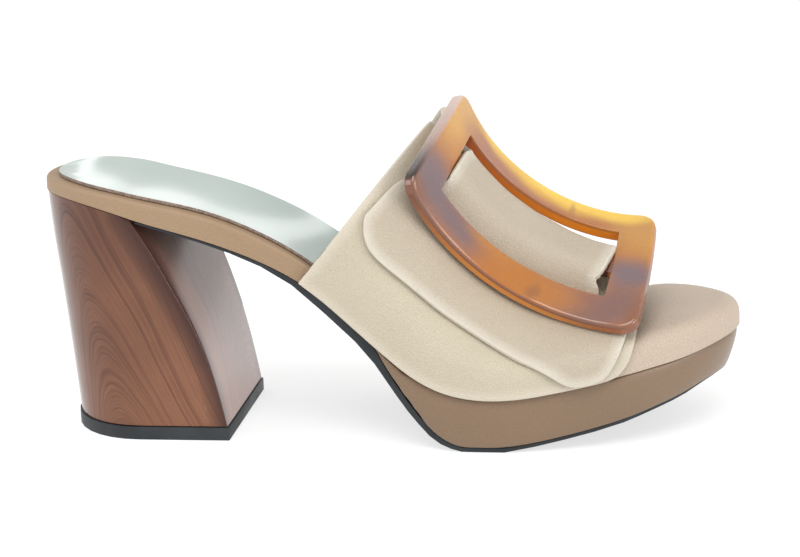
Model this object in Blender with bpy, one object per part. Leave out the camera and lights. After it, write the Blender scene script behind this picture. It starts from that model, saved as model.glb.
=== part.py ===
"""Right-foot platform mule with a block heel and a large bent buckle over the vamp.

Lengths are metres. +X runs from the heel to the toe, +Y to the inner side of the foot, +Z up.
The origin is the centre of the heel's floor face, and the shoe stands on z = 0.
"""
import bisect
import math

import bmesh
import bpy
from mathutils import Matrix, Vector
from mathutils.bvhtree import BVHTree

# Sizes of the last and of the sole
LENGTH = 0.224            # back of the seat to the tip of the toe
BALL_WIDTH = 0.080        # the outline's half widths are shares of this
SEAT_ROUND = 0.028        # length of the rounded back of the seat
TOE_ROUND = 0.0363        # length of the rounded toe
TOE_CENTRE = 0.005        # how far the tip of the toe lies to the inner side
PLATFORM_TOP = 0.0176     # height of the footbed's underside at the ball
HEEL_LIFT = 0.0614        # rise of the footbed's underside from the ball to the seat
TOE_SPRING = 0.0141       # rise of the footbed's underside from the ball to the tip
OUTSOLE = 0.0016          # thickness of the outsole under the forefoot
FOOTBED = 0.0086          # thickness of the padded footbed at the ball
SOCK = 0.0010             # thickness of the lining on the footbed
SOCK_MARGIN = 0.0042      # footbed left bare around the lining
SOCK_END = 0.62           # station of the lining's hidden front end
SEAT_CUP = 0.0008         # hollow of the seat
PAD_CROWN = 0.0016        # crown of the footbed under the toes
GAP = 0.0003              # clearance between pieces that touch

# Sizes of the heel
HEEL_SETBACK = 0.0348     # back of the seat to the centre of the heel's floor face
HEEL_BASE = 0.056         # length of the heel at the floor
HEEL_BASE_WIDTH = 0.0545  # width of the heel at the floor
HEEL_TOP_WIDTH = 0.0584   # width of the heel under the seat
TOP_PIECE = 0.0042        # thickness of the rubber top-piece
TOP_PIECE_EDGE = 0.0005   # how far the top-piece stands out

# Sizes of the upper
VAMP_WALL = 0.0018
VAMP_STAND = 0.0010       # how far the vamp's foot stands out from the outline
INSTEP = 0.0959           # height of the vamp's ridge at its rear edge
STRAP = 0.0017            # thickness of the overlay strap
STRAP_RISE = 0.0046       # how far the strap's rear edge bulges off the vamp beside the buckle

# Sizes of the buckle
BUCKLE_NEAR = 0.0816      # chord of the outer side
BUCKLE_FAR = 0.0730       # chord of the inner side
BUCKLE_WIDTH = 0.0524
BUCKLE_SKEW = -0.0060     # how far the inner side lies back of the outer one
BUCKLE_RISE = 0.0150      # bend along the foot
BUCKLE_ARCH = 0.0026      # arch across the foot
BUCKLE_BAR = 0.0112       # width of the frame's sides
BUCKLE_THICK = 0.0040
BUCKLE_CORNER = 0.0046    # radius of the outer corners
BUCKLE_EDGE = 0.0005      # radius of the frame's edges
CENTRE_BAR = 0.0090       # width of the hidden bar
CENTRE_BAR_THICK = 0.0024
BAR_TOP = 0.0006          # how far the hidden bar's top face lies under the frame's

# Outline of the last in plan, before its two ends are rounded: half widths as shares of BALL_WIDTH
OUTLINE = (
    # station, outer half, inner half
    (0.000, 0.370, 0.370),
    (0.146, 0.370, 0.366),
    (0.280, 0.350, 0.348),
    (0.414, 0.372, 0.341),
    (0.481, 0.412, 0.362),
    (0.548, 0.452, 0.412),
    (0.615, 0.475, 0.470),
    (0.660, 0.478, 0.502),
    (0.704, 0.466, 0.523),
    (0.762, 0.433, 0.538),
    (0.828, 0.385, 0.535),
    (0.883, 0.335, 0.525),
    (0.941, 0.298, 0.496),
    (1.000, 0.262, 0.440),
)

# Side profile of the footbed's underside: rise is a share of HEEL_LIFT, spring of TOE_SPRING
PROFILE = (
    # station, rise, spring
    (0.000, 1.000, 0.000),
    (0.044, 0.995, 0.000),
    (0.109, 0.950, 0.000),
    (0.155, 0.891, 0.000),
    (0.247, 0.788, 0.000),
    (0.331, 0.673, 0.000),
    (0.372, 0.596, 0.000),
    (0.414, 0.489, 0.000),
    (0.463, 0.336, 0.000),
    (0.499, 0.230, 0.000),
    (0.527, 0.145, 0.000),
    (0.555, 0.076, 0.000),
    (0.583, 0.034, 0.000),
    (0.610, 0.011, 0.000),
    (0.638, 0.000, 0.000),
    (0.665, 0.000, 0.000),
    (0.747, 0.000, 0.156),
    (0.801, 0.000, 0.298),
    (0.856, 0.000, 0.468),
    (0.910, 0.000, 0.638),
    (0.970, 0.000, 0.879),
    (1.000, 0.000, 1.000),
)

# Underside of the sole: its height is a share of the height of the footbed's underside above it
UNDERSIDE = (
    # station, height, sole thickness as a share of OUTSOLE
    (0.150, 0.986, 9.0),
    (0.247, 0.981, 9.0),
    (0.331, 0.970, 9.0),
    (0.372, 0.954, 9.0),
    (0.414, 0.916, 9.0),
    (0.463, 0.882, 9.0),
    (0.482, 0.838, 4.0),
    (0.499, 0.744, 2.9),
    (0.512, 0.668, 2.5),
    (0.527, 0.547, 2.3),
    (0.541, 0.440, 2.1),
    (0.555, 0.314, 1.9),
    (0.567, 0.202, 1.7),
    (0.583, 0.096, 1.4),
    (0.597, 0.038, 1.1),
    (0.611, 0.000, 1.0),
    (0.673, 0.000, 1.0),
    (0.693, 0.050, 0.9),
    (0.733, 0.130, 0.8),
    (0.774, 0.216, 0.8),
    (0.829, 0.310, 0.8),
    (0.870, 0.393, 0.8),
    (0.912, 0.468, 0.8),
    (0.955, 0.540, 0.8),
    (1.000, 0.540, 0.8),
)

# Footbed: thickness and edge radius as shares of FOOTBED
PAD = (
    # station, thickness, edge radius
    (0.000, 0.50, 0.14),
    (0.080, 0.54, 0.14),
    (0.190, 0.80, 0.15),
    (0.270, 0.90, 0.16),
    (0.355, 0.84, 0.16),
    (0.420, 0.88, 0.18),
    (0.490, 1.00, 0.40),
    (0.660, 1.01, 0.55),
    (0.830, 1.15, 0.62),
    (0.880, 1.32, 0.66),
    (0.920, 1.26, 0.64),
    (0.960, 1.12, 0.60),
    (1.000, 1.00, 0.55),
)

# Heel block: lengths as shares of HEEL_BASE, measured from the centre of its floor face
HEEL = (
    # level, back, outer breast, inner breast, breast corner radius as a share of HEEL_BASE
    (0.00, -0.504, 0.468, 0.486, 0.006),
    (0.25, -0.530, 0.404, 0.434, 0.018),
    (0.45, -0.552, 0.327, 0.379, 0.030),
    (0.65, -0.577, 0.209, 0.307, 0.040),
    (0.82, -0.600, 0.109, 0.232, 0.048),
    (1.00, -0.616, -0.021, 0.139, 0.052),
)

# Vamp sections, from its rear edge to its front edge: stations of the two feet and of the ridge
# are shares of LENGTH, the ridge's height a share of INSTEP and its place a share of BALL_WIDTH
VAMP = (
    # share, outer foot, inner foot, ridge, ridge height, ridge side, fullness
    (0.000, 0.384, 0.393, 0.554, 1.000, 0.188, 1.00),
    (0.167, 0.459, 0.459, 0.593, 0.880, 0.200, 1.12),
    (0.333, 0.535, 0.530, 0.633, 0.768, 0.212, 1.32),
    (0.500, 0.611, 0.602, 0.682, 0.670, 0.222, 1.50),
    (0.667, 0.682, 0.673, 0.737, 0.594, 0.212, 1.62),
    (0.833, 0.755, 0.750, 0.798, 0.538, 0.175, 1.62),
    (1.000, 0.836, 0.822, 0.858, 0.500, 0.112, 1.45),
)
VAMP_FOOT = 0.94          # straight foot of the vamp's wall, as a share of FOOTBED
FOOT_TURN = 0.12          # share of each side's walk that the straight foot takes
SHOULDER_ROUND = 0.10     # share before and after it over which the wall turns
INNER_FULLNESS = 0.5      # the inner side is nearer a true ellipse by this share

# Overlay strap on the vamp. Round goes from 0 at the outer foot over 1 at the ridge to 2
STRAP_FOOT = (
    # share along the strap's foot, round of its lower edge
    (0.00, 0.350),
    (0.03, 0.300),
    (0.08, 0.280),
    (0.16, 0.300),
    (0.28, 0.334),
    (0.41, 0.352),
    (0.53, 0.328),
    (0.61, 0.290),
    (0.70, 0.220),
    (0.79, 0.115),
    (0.86, 0.045),
    (0.92, 0.014),
    (1.00, 0.022),
)
STRAP_SIDES = (
    # round, rear edge, front edge (shares along the vamp)
    (0.00, 0.028, 0.925),
    (0.08, 0.028, 0.945),
    (0.30, 0.028, 0.968),
    (0.48, 0.036, 0.974),
    (0.54, 0.044, 0.930),
    (0.60, 0.070, 0.850),
    (0.65, 0.150, 0.866),
    (0.70, 0.152, 0.892),
    (0.76, 0.155, 0.900),
    (0.82, 0.157, 0.896),
    (0.88, 0.158, 0.889),
    (0.94, 0.080, 0.925),
    (1.02, 0.014, 0.975),
    (1.40, 0.016, 0.985),
    (2.00, 0.020, 0.950),
)
STRAP_WAIST = (0.50, 1.06)   # rounds between which the strap passes through the buckle
STRAP_RAMP = 0.095        # rounds over which it climbs to the hidden bar on the outer side
BULGE_ROUND = 1.07        # round at which the strap's rear edge stands off furthest
BULGE_REACH = 0.21
# Rounds over which it comes down again on the inner side, where it hangs under the frame
STRAP_FALL = (
    # share along the vamp, rounds
    (0.10, 0.18),
    (0.60, 0.18),
    (0.90, 0.11),
)

# The buckle's place on the vamp
BUCKLE_SHARE = 0.50       # share along the vamp of the buckle's middle
BUCKLE_ROUND = 0.74       # its place round the vamp
BUCKLE_NOSE = math.radians(0.2)
BUCKLE_LEAN = math.radians(-0.5)
BUCKLE_TURN = math.radians(-5.4)

X_BACK = -HEEL_SETBACK
X_TOE = X_BACK + LENGTH
PLATFORM_START = 0.487    # station of the platform's thin rear edge
SOLE_START = 0.156        # station of the outsole's rear end on the outer side
SOLE_SKEW = 0.038         # how much further forward it starts on the inner side


def smooth(rows, column, at):
    """Value of a table's column at a place, on a curve through its rows that doesn't overshoot."""
    places = [row[0] for row in rows]
    values = [row[column] for row in rows]
    at = min(max(at, places[0]), places[-1])
    i = min(bisect.bisect_right(places, at), len(places) - 1) - 1

    def rate(k):
        return (values[k + 1] - values[k]) / (places[k + 1] - places[k])

    def tangent(k):
        if k == 0:
            return rate(0)
        if k == len(places) - 1:
            return rate(k - 1)
        before, after = rate(k - 1), rate(k)
        if before * after <= 0.0:
            return 0.0
        return 2.0 * before * after / (before + after)

    width = places[i + 1] - places[i]
    t = (at - places[i]) / width
    t2, t3 = t * t, t * t * t
    return (values[i] * (2 * t3 - 3 * t2 + 1) + tangent(i) * width * (t3 - 2 * t2 + t)
            + values[i + 1] * (3 * t2 - 2 * t3) + tangent(i + 1) * width * (t3 - t2))


def station(x):
    return (x - X_BACK) / LENGTH


def at_station(share):
    return X_BACK + share * LENGTH


def edge_y(x, side):
    """Plan outline at x. Side is -1 for the outer side of the foot and 1 for the inner."""
    x = min(max(x, X_BACK), X_TOE)
    y = side * smooth(OUTLINE, 1 if side < 0 else 2, station(x)) * BALL_WIDTH
    seat, toe = X_BACK + SEAT_ROUND, X_TOE - TOE_ROUND
    if x < seat:
        y *= math.sqrt(max(0.0, 1.0 - ((seat - x) / SEAT_ROUND) ** 2))
    if x > toe:
        y = TOE_CENTRE + (y - TOE_CENTRE) * math.sqrt(max(0.0, 1.0 - ((x - toe) / TOE_ROUND) ** 2))
    return y


def seam_z(x):
    """Height of the footbed's underside."""
    s = station(x)
    return PLATFORM_TOP + HEEL_LIFT * smooth(PROFILE, 1, s) + TOE_SPRING * smooth(PROFILE, 2, s)


def tread_z(x):
    return seam_z(x) * smooth(UNDERSIDE, 1, station(x))


def parting_z(x):
    """Top of the outsole: against the footbed in the arch, against the platform in front."""
    return min(seam_z(x) - GAP, tread_z(x) + OUTSOLE * smooth(UNDERSIDE, 2, station(x)))


def pad_z(x, across):
    """Top of the footbed. Across goes from -1 at the outer edge to 1 at the inner."""
    s = station(x)
    toes = smooth(((0.45, 0.0), (0.75, 1.0)), 1, s)
    width = (edge_y(x, 1) - edge_y(x, -1)) / BALL_WIDTH
    crown = (PAD_CROWN * toes - SEAT_CUP * (1.0 - toes)) * width * width
    return seam_z(x) + FOOTBED * smooth(PAD, 1, s) + crown * (1.0 - across * across)


# Walk along the outline: share 0 at the back, 1 at the tip, closer steps on the rounded ends
BACK_END, TOE_START = 0.20, 0.76


def walk_x(share):
    seat, toe = X_BACK + SEAT_ROUND, X_TOE - TOE_ROUND
    if share < BACK_END:
        return seat - SEAT_ROUND * math.cos(share / BACK_END * math.pi / 2)
    if share > TOE_START:
        return toe + TOE_ROUND * math.sin((share - TOE_START) / (1 - TOE_START) * math.pi / 2)
    return seat + (toe - seat) * (share - BACK_END) / (TOE_START - BACK_END)


def walk_share(s):
    """Walk share of a station on the straight middle."""
    seat, toe = X_BACK + SEAT_ROUND, X_TOE - TOE_ROUND
    return BACK_END + (at_station(s) - seat) / (toe - seat) * (TOE_START - BACK_END)


def steps(first, last, count):
    return [first + (last - first) * k / count for k in range(count + 1)]


def forefoot_shares():
    """Walk shares of the sole, the platform and the footbed in front, so that their seams match."""
    shares = steps(walk_share(PLATFORM_START), walk_share(0.64), 10)
    shares += steps(walk_share(0.67), TOE_START, 4)
    return shares + steps(TOE_START, 1.0, 10)[1:]


def outline_point(share, side, inset):
    """Point of the plan outline moved inwards by inset."""
    step = 0.002
    a, b = walk_x(max(share - step, 0.0)), walk_x(min(share + step, 1.0))
    ya, yb = edge_y(a, side), edge_y(b, side)
    if share <= 0.0:
        tangent = Vector((0.0, side))
    elif share >= 1.0:
        tangent = Vector((0.0, -side))
    else:
        tangent = Vector((b - a, yb - ya)).normalized()
    x = walk_x(share)
    return Vector((x + side * tangent.y * inset, edge_y(x, side) - side * tangent.x * inset))


def material(name, colour, roughness, metallic=0.0):
    made = bpy.data.materials.new(name)
    made.use_nodes = True
    shader = made.node_tree.nodes["Principled BSDF"]
    shader.inputs["Base Color"].default_value = (*colour, 1.0)
    shader.inputs["Roughness"].default_value = roughness
    shader.inputs["Metallic"].default_value = metallic
    made.diffuse_color = (*colour, 1.0)
    return made


def add_object(name, bm, finish, sharp=40.0):
    """Object of a closed mesh, with its faces pointing out and its round forms shaded smooth."""
    bmesh.ops.recalc_face_normals(bm, faces=bm.faces)
    mesh = bpy.data.meshes.new(name)
    bm.to_mesh(mesh)
    bm.free()
    mesh.shade_smooth()
    mesh.set_sharp_from_angle(angle=math.radians(sharp))
    mesh.materials.append(finish)
    made = bpy.data.objects.new(name, mesh)
    bpy.context.scene.collection.objects.link(made)
    return made


def loft(name, levels, caps, columns, tips, finish):
    """Solid between stacked outlines.

    A level is two rows of points, along the outer and the inner side. Caps gives the height of
    the lowest and the highest face at (x, across), or None to leave it straight between the
    rows. Tips says whether the two rows meet in one point at their start and at their end.
    """
    bm = bmesh.new()
    start_tip, end_tip = tips
    last = len(levels[0][0]) - 1
    cut_ends = [k for k, tip in ((0, start_tip), (last, end_tip)) if not tip]

    def across(a, b, height=None):
        """Points between two points, on the straight line or at the height of a cap."""
        row = []
        for c in range(1, columns):
            p = a.lerp(b, c / columns)
            if height:
                p.z = height(p.x, 2.0 * c / columns - 1.0)
            row.append(bm.verts.new(p))
        return row

    def ring(level, height):
        """Vertices of one level: the outer row, the inner row, and a whole row at each cut end."""
        outer = [bm.verts.new(p) for p in level[0]]
        inner = [bm.verts.new(p) if 0 < k < last or k in cut_ends else outer[k]
                 for k, p in enumerate(level[1])]
        ends = {k: [outer[k]] + across(outer[k].co, inner[k].co, height) + [inner[k]]
                for k in cut_ends}
        return outer, inner, ends

    heights = [caps[0]] + [None] * (len(levels) - 2) + [caps[1]]
    rings = [ring(level, height) for level, height in zip(levels, heights)]
    for (o0, i0, e0), (o1, i1, e1) in zip(rings, rings[1:]):
        for k in range(last):
            for low, high in ((o0, o1), (i0, i1)):
                bm.faces.new((low[k], low[k + 1], high[k + 1], high[k]))
        for k in cut_ends:
            for c in range(columns):
                bm.faces.new((e0[k][c], e0[k][c + 1], e1[k][c + 1], e1[k][c]))
    for (outer, inner, ends), height in ((rings[0], caps[0]), (rings[-1], caps[1])):
        rows = []
        for k in range(last + 1):
            if k in ends:
                rows.append(ends[k])
            elif outer[k] is inner[k]:
                rows.append([outer[k]])
            else:
                rows.append([outer[k]] + across(outer[k].co, inner[k].co, height) + [inner[k]])
        for a, b in zip(rows, rows[1:]):
            for c in range(columns):
                if len(a) == 1:
                    bm.faces.new((a[0], b[c], b[c + 1]))
                elif len(b) == 1:
                    bm.faces.new((a[c], a[c + 1], b[0]))
                else:
                    bm.faces.new((a[c], a[c + 1], b[c + 1], b[c]))
    return add_object(name, bm, finish)


def rows_at(outer_shares, inner_shares, inset, height):
    """Outer and inner row of one level. Inset and height are functions of x, or of the share."""
    level = []
    for side, shares in ((-1, outer_shares), (1, inner_shares)):
        row = []
        for share in shares:
            x = walk_x(share)
            p = outline_point(share, side, inset(x))
            row.append(Vector((p.x, p.y, height(p.x))))
        level.append(row)
    return level


def build_top_piece(finish):
    """Rubber lift under the heel."""
    levels = []
    for z in (0.0, TOP_PIECE):
        levels.append(heel_rows(0.0, lambda x, z=z: z, TOP_PIECE_EDGE))
    return loft("top_piece", levels, (None, None), 2, (False, True), finish)


def heel_rows(level, height, stand_out=0.0):
    """Outer and inner row of the heel's outline, from the breast to the back."""
    back, outer, inner, corner = [smooth(HEEL, c, level) * HEEL_BASE for c in range(1, 5)]
    half = (HEEL_BASE_WIDTH + (HEEL_TOP_WIDTH - HEEL_BASE_WIDTH) * level) / 2 + stand_out
    back -= stand_out
    corner = max(corner, 0.0003)
    round_length = SEAT_ROUND - 0.002 * (1.0 - level)
    centre = back + round_length
    rows = []
    for side, breast in ((-1, outer), (1, inner)):
        front = breast + stand_out
        row = [(front, half - corner), (front - 0.3 * corner, half - 0.3 * corner)]
        row += [(x, half) for x in steps(front - corner, centre, 4)]
        for k in range(1, 9):
            turn = k / 8 * math.pi / 2
            row.append((centre - round_length * math.sin(turn), half * math.cos(turn)))
        rows.append([Vector((x, side * y, height(x))) for x, y in row])
    return rows


def build_heel(finish):
    """Block heel whose top follows the slope of the seat."""
    floor = TOP_PIECE + GAP
    top = heel_rows(1.0, lambda x: seam_z(x) - GAP)
    levels = []
    for level in [0.0, 0.08, 0.18, 0.30, 0.42, 0.54, 0.65, 0.74, 0.82, 0.91, 1.0]:
        rows = heel_rows(level, lambda x: floor)
        for row, top_row in zip(rows, top):
            for p, top_point in zip(row, top_row):
                p.z = floor + level * (top_point.z - floor)
        levels.append(rows)
    caps = (None, lambda x, across: seam_z(x) - GAP)
    return loft("heel", levels, caps, 4, (False, True), finish)


def build_outsole(finish):
    """Thin sole from the heel's breast, through the arch and under the platform."""
    first = walk_share(SOLE_START)
    shares = steps(first, walk_share(0.46), 7) + forefoot_shares()
    outer = list(shares)
    skew = walk_share(SOLE_START + SOLE_SKEW) - first
    inner = [s + skew * max(0.0, 1.0 - (s - first) / (6 * skew)) for s in shares]
    in_front = ((0.42, 0.0), (0.52, 1.0))

    def inset(x):
        toe_end = ((0.80, 0.0), (1.0, 1.0))
        s = station(x)
        return 0.0004 + 0.0014 * smooth(in_front, 1, s) + 0.0042 * smooth(toe_end, 1, s)

    low = rows_at(outer, inner, lambda x: inset(x) + 0.0003, tread_z)
    high = rows_at(outer, inner, inset, parting_z)
    caps = (lambda x, across: tread_z(x), lambda x, across: parting_z(x))
    return loft("outsole", [low, high], caps, 2, (False, True), finish)


def build_platform(finish):
    """Covered wedge between the outsole and the footbed."""
    shares = forefoot_shares()
    toe_end = ((0.80, 0.0), (1.0, 1.0))
    levels = []
    for up, side_inset, toe_inset in ((0.0, 0.0012, 0.0040), (0.12, 0.0006, 0.0032),
                                      (0.5, 0.0002, 0.0016), (0.88, 0.0003, 0.0006),
                                      (1.0, 0.0009, 0.0011)):
        def inset(x, side_inset=side_inset, toe_inset=toe_inset):
            return side_inset + (toe_inset - side_inset) * smooth(toe_end, 1, station(x))

        def height(x, up=up):
            low, high = parting_z(x) + GAP, seam_z(x) - GAP
            return low + (high - low) * up
        levels.append(rows_at(shares, shares, inset, height))
    caps = (lambda x, across: parting_z(x) + GAP, lambda x, across: seam_z(x) - GAP)
    return loft("platform", levels, caps, 4, (False, True), finish)


def footbed_inset(x):
    """The footbed is drawn in under the vamp by the vamp's wall."""
    under_vamp = ((0.34, 0.0), (0.38, 1.0), (0.845, 1.0), (0.92, 0.0))
    return max(0.0, VAMP_WALL + GAP - VAMP_STAND) * smooth(under_vamp, 1, station(x))


def build_footbed(finish):
    """Padded footbed wrapped in leather, from the seat to the toe."""
    shares = steps(0.0, BACK_END, 7) + steps(BACK_END, walk_share(0.46), 9)[1:]
    shares += forefoot_shares()

    def radius(x):
        return FOOTBED * smooth(PAD, 2, station(x))

    def top(x):
        return seam_z(x) + FOOTBED * smooth(PAD, 1, station(x))

    levels = [rows_at(shares, shares, footbed_inset, seam_z)]
    for turn in (0.0, 30.0, 60.0, 90.0):
        c, s = math.cos(math.radians(turn)), math.sin(math.radians(turn))
        levels.append(rows_at(shares, shares, lambda x, c=c: footbed_inset(x) + radius(x) * (1 - c),
                              lambda x, s=s: top(x) - radius(x) * (1 - s)))
    caps = (lambda x, across: seam_z(x), pad_z)
    return loft("footbed", levels, caps, 6, (True, True), finish)


def build_sock(finish):
    """Lining glued on the footbed, from the seat to a hidden end under the vamp."""
    shares = steps(0.0, BACK_END, 7) + steps(BACK_END, walk_share(SOCK_END), 16)[1:]

    def lining_rows(lift):
        rows = rows_at(shares, shares, lambda x: SOCK_MARGIN, lambda x: 0.0)
        for row, other in zip(rows, reversed(rows)):
            for p in row:
                width = abs(edge_y(p.x, -1)) + abs(edge_y(p.x, 1))
                p.z = pad_z(p.x, 2 * (p.y - edge_y(p.x, -1)) / max(width, 0.001) - 1) + lift
        return rows

    def cap(lift):
        def height(x, across):
            inner = 1.0 - 2 * SOCK_MARGIN / max(edge_y(x, 1) - edge_y(x, -1), 0.02)
            return pad_z(x, across * inner) + lift
        return height
    levels = [lining_rows(GAP), lining_rows(GAP + SOCK)]
    return loft("sock", levels, (cap(GAP), cap(GAP + SOCK)), 6, (True, False), finish)


def vamp_point(along, around):
    """Outer surface of the vamp. Around is 0 at the outer foot, 1 on the ridge, 2 at the inner."""
    outer_s, inner_s, ridge_s, high, aside, fullness = [smooth(VAMP, c, along) for c in range(1, 7)]
    ridge = Vector((at_station(ridge_s), aside * BALL_WIDTH, high * INSTEP))
    feet = []
    for side, s in ((-1, outer_s), (1, inner_s)):
        x = at_station(s)
        feet.append(Vector((x, edge_y(x, side) + side * VAMP_STAND, seam_z(x))))
    share = (ridge.y - feet[0].y) / (feet[1].y - feet[0].y)
    under = feet[0].lerp(feet[1], share)
    rise = (ridge - under) / (ridge.z - under.z) * FOOTBED * VAMP_FOOT
    shoulders = []
    for side, foot in zip((-1, 1), feet):
        shoulder = foot + rise
        shoulder.y = edge_y(shoulder.x, side) + side * VAMP_STAND
        shoulders.append(shoulder)
    side = 0 if around <= 1.0 else 1
    walk = around if around <= 1.0 else 2.0 - around
    share = (ridge.y - shoulders[0].y) / (shoulders[1].y - shoulders[0].y)
    centre = shoulders[0].lerp(shoulders[1], share)
    if side == 1:
        fullness = 1.0 + (fullness - 1.0) * INNER_FULLNESS

    def side_point(walk):
        """Point on the straight foot or on the curve over the side of the foot."""
        if walk < FOOT_TURN:
            return feet[side].lerp(shoulders[side], walk / FOOT_TURN)
        turn = (walk - FOOT_TURN) / (1.0 - FOOT_TURN) * math.pi / 2
        across = max(math.cos(turn), 0.0) ** fullness
        up = math.sin(turn) ** fullness
        return centre + (shoulders[side] - centre) * across + (ridge - centre) * up

    low, high = FOOT_TURN - SHOULDER_ROUND, FOOT_TURN + SHOULDER_ROUND
    if not low < walk < high:
        return side_point(walk)
    t = (walk - low) / (high - low)
    start = side_point(low).lerp(shoulders[side], t)
    return start.lerp(shoulders[side].lerp(side_point(high), t), t)


def vamp_normal(along, around):
    """Outward normal of the vamp."""
    step = 0.01
    a0, a1 = max(along - step, 0.0), min(along + step, 1.0)
    r0, r1 = max(around - step, 0.0), min(around + step, 2.0)
    forward = vamp_point(a1, around) - vamp_point(a0, around)
    over = vamp_point(along, r1) - vamp_point(along, r0)
    normal = forward.cross(over).normalized()
    if around < FOOT_TURN / 2 or around > 2.0 - FOOT_TURN / 2:
        normal.z = 0.0
        normal.normalize()
    return normal


def shell(name, grid, thickness, finish):
    """Wall over a grid of (point, normal) rows, thickened inwards, with closed rims."""
    bm = bmesh.new()
    outer = [[bm.verts.new(p) for p, n in row] for row in grid]
    inner = [[bm.verts.new(p - n * thickness) for p, n in row] for row in grid]
    rows, columns = len(grid), len(grid[0])
    for r in range(rows - 1):
        for c in range(columns - 1):
            bm.faces.new((outer[r][c], outer[r][c + 1], outer[r + 1][c + 1], outer[r + 1][c]))
            bm.faces.new((inner[r][c], inner[r + 1][c], inner[r + 1][c + 1], inner[r][c + 1]))
    for r in range(rows - 1):
        for c in (0, columns - 1):
            bm.faces.new((outer[r][c], outer[r + 1][c], inner[r + 1][c], inner[r][c]))
    for c in range(columns - 1):
        for r in (0, rows - 1):
            bm.faces.new((outer[r][c], outer[r][c + 1], inner[r][c + 1], inner[r][c]))
    return add_object(name, bm, finish)


def build_vamp(finish):
    """Wide band over the foot, open behind, in front and underneath."""
    front_corner = ((0.0, 0.970), (0.04, 0.990), (0.10, 1.0), (1.90, 1.0), (1.96, 0.990), (2.0, 0.970))
    side = [0.0, 0.04, 0.08, FOOT_TURN, 0.16]
    arounds = side + steps(0.20, 1.80, 32) + [2.0 - a for a in reversed(side)]
    grid = []
    for k in range(15):
        row = []
        for around in arounds:
            along = k / 14 * smooth(front_corner, 1, around)
            row.append((vamp_point(along, around), vamp_normal(along, around)))
        grid.append(row)
    return shell("vamp", grid, VAMP_WALL, finish)


def buckle_surface(along, across):
    """Top face of the flat-laid buckle, bent: along and across run from -1 to 1."""
    share = (across + 1.0) / 2.0
    half = (BUCKLE_NEAR + (BUCKLE_FAR - BUCKLE_NEAR) * share) / 2
    radius = (half * half + BUCKLE_RISE ** 2) / (2 * BUCKLE_RISE)
    turn = along * math.asin(half / radius)
    x = radius * math.sin(turn) + BUCKLE_SKEW * across / 2
    z = radius * (1.0 - math.cos(turn)) - BUCKLE_RISE + BUCKLE_ARCH * (1.0 - across * across)
    return Vector((x, across * BUCKLE_WIDTH / 2, z))


def buckle_point(along, across, depth):
    step = 0.01
    top = buckle_surface(along, across)
    forward = buckle_surface(along + step, across) - buckle_surface(along - step, across)
    over = buckle_surface(along, across + step) - buckle_surface(along, across - step)
    return top - forward.cross(over).normalized() * depth


def frame_loop(inset, depth):
    """Closed loop round the frame, inset from its outer edge and lowered by depth."""
    half_x = (BUCKLE_NEAR + BUCKLE_FAR) / 4 * 1.045
    half_y = BUCKLE_WIDTH / 2
    radius = max(BUCKLE_CORNER - inset, 0.0005)
    lx, ly = half_x - inset, half_y - inset
    flat = []
    for sx, sy, start in ((1, 1, 0), (-1, 1, 90), (-1, -1, 180), (1, -1, 270)):
        centre = Vector((sx * (lx - radius), sy * (ly - radius)))
        corner = []
        for k in range(5):
            turn = math.radians(start + 90.0 * k / 4)
            corner.append(centre + radius * Vector((math.cos(turn), math.sin(turn))))
        flat.append(corner)
    loop = []
    for corner, following, count in zip(flat, flat[1:] + flat[:1], (14, 8, 14, 8)):
        loop += corner
        loop += [corner[-1].lerp(following[0], k / count) for k in range(1, count)]
    return [buckle_point(p.x / half_x, p.y / half_y, depth) for p in loop]


def centre_bar_points(depth_top, depth_bottom, ends=0.0):
    """Sections of the hidden bar, from one short side of the frame to the other."""
    half_x = (BUCKLE_NEAR + BUCKLE_FAR) / 4 * 1.045
    reach = (half_x - BUCKLE_BAR + ends) / half_x
    half = CENTRE_BAR / BUCKLE_WIDTH
    sections = []
    for along in steps(-reach, reach, 14):
        sections.append([buckle_point(along, across, depth) for across, depth in
                         ((-half, depth_bottom), (-half, depth_top), (0.0, depth_top),
                          (half, depth_top), (half, depth_bottom), (0.0, depth_bottom))])
    return sections


def tube_mesh(sections):
    bm = bmesh.new()
    rings = [[bm.verts.new(p) for p in section] for section in sections]
    count = len(rings[0])
    for a, b in zip(rings, rings[1:]):
        for k in range(count):
            bm.faces.new((a[k], a[(k + 1) % count], b[(k + 1) % count], b[k]))
    bm.faces.new(rings[0])
    bm.faces.new(rings[-1])
    return bm


def build_buckle(finish, place):
    """Bent frame with a hidden bar between its short sides, in one piece."""
    e, t, w = BUCKLE_EDGE, BUCKLE_THICK, BUCKLE_BAR
    section = ((e, 0.0), (0.3 * e, 0.3 * e), (0.0, e), (0.0, t - e), (0.3 * e, t - 0.3 * e), (e, t),
               (w - 0.5 * e, t), (w, t - 0.5 * e), (w, 0.5 * e), (w - 0.5 * e, 0.0))
    loops = [frame_loop(inset, depth) for inset, depth in section]
    bm = bmesh.new()
    rings = [[bm.verts.new(place @ p) for p in loop] for loop in loops]
    for a, b in zip(rings, rings[1:] + rings[:1]):
        for k in range(len(a)):
            n = (k + 1) % len(a)
            bm.faces.new((a[k], a[n], b[n], b[k]))
    buckle = add_object("buckle", bm, finish)

    sections = centre_bar_points(BAR_TOP, BAR_TOP + CENTRE_BAR_THICK, ends=0.002)
    bar = add_object("buckle_bar", tube_mesh([[place @ p for p in s] for s in sections]), finish)
    bar.hide_render = True
    bar.display_type = "WIRE"
    union = buckle.modifiers.new("centre bar", "BOOLEAN")
    union.operation = "UNION"
    union.solver = "EXACT"
    union.object = bar
    return buckle


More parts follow.
